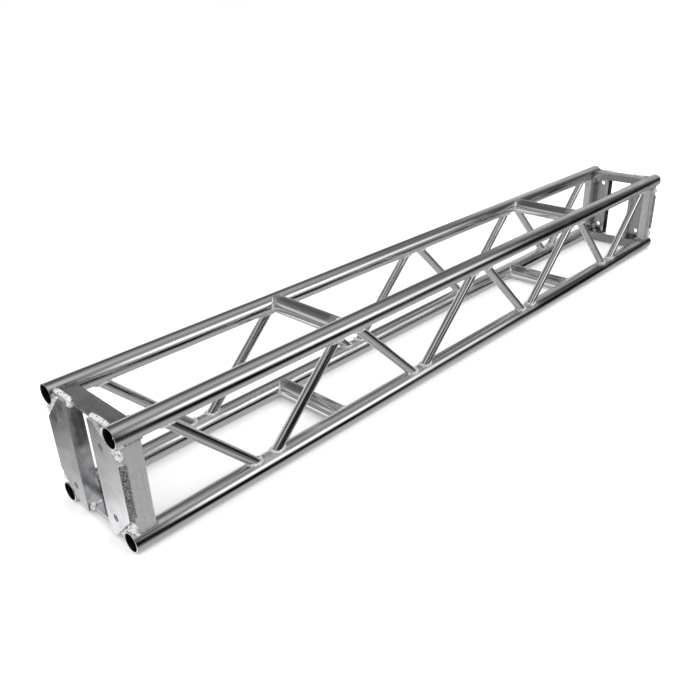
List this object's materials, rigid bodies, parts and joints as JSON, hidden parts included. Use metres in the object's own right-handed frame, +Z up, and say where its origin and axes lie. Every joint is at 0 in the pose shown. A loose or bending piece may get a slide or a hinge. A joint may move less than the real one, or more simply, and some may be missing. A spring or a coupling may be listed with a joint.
{
  "type": "lighting truss section",
  "caption": "Straight square box truss section of welded aluminium tube: parallel chords, zigzag side lacing, cross tubes and a bolt-plate frame at each end.",
  "frame": {"origin": "under the middle of the section, on the surface that the bottom chords rest on", "axes": "+X along the section from the left end to the right end, +Y across it from front to rear, +Z up"},
  "size_m": [2.4384, 0.3022, 0.3023],
  "materials": {
    "chord_tube": "mill-finish extruded tube, bright, with drawing lines along it",
    "brace_tube": "mill-finish extruded tube, bright",
    "plate": "mill-finish plate, satin, sawn edges",
    "angle": "mill-finish angle, satin",
    "weld_metal": "bright rippled weld bead"
  },
  "bodies": {
    "root": {"chord_top_front": "chord_tube", "chord_top_rear": "chord_tube", "chord_bottom_front": "chord_tube", "chord_bottom_rear": "chord_tube", "brace_front_1": "brace_tube", "brace_front_2": "brace_tube", "brace_front_3": "brace_tube", "brace_front_4": "brace_tube", "brace_front_5": "brace_tube", "brace_front_6": "brace_tube", "brace_front_7": "brace_tube", "brace_front_8": "brace_tube", "brace_rear_1": "brace_tube", "brace_rear_2": "brace_tube", "brace_rear_3": "brace_tube", "brace_rear_4": "brace_tube", "brace_rear_5": "brace_tube", "brace_rear_6": "brace_tube", "brace_rear_7": "brace_tube", "brace_rear_8": "brace_tube", "cross_tube_top_left": "chord_tube", "cross_tube_top_right": "chord_tube", "cross_tube_bottom_left": "chord_tube", "cross_tube_bottom_right": "chord_tube", "bolt_plate_left_front": "plate", "bolt_plate_left_rear": "plate", "bolt_plate_right_front": "plate", "bolt_plate_right_rear": "plate", "side_angle_left_front": "angle", "side_angle_left_rear": "angle", "side_angle_right_front": "angle", "side_angle_right_rear": "angle", "top_angle_left": "angle", "top_angle_right": "angle", "bottom_angle_left": "angle", "bottom_angle_right": "angle", "brace_welds_top_front": "weld_metal", "brace_welds_top_rear": "weld_metal", "brace_welds_bottom_front": "weld_metal", "brace_welds_bottom_rear": "weld_metal", "cross_tube_welds": "weld_metal", "end_welds_left": "weld_metal", "end_welds_right": "weld_metal"}
  },
  "joints": []
}
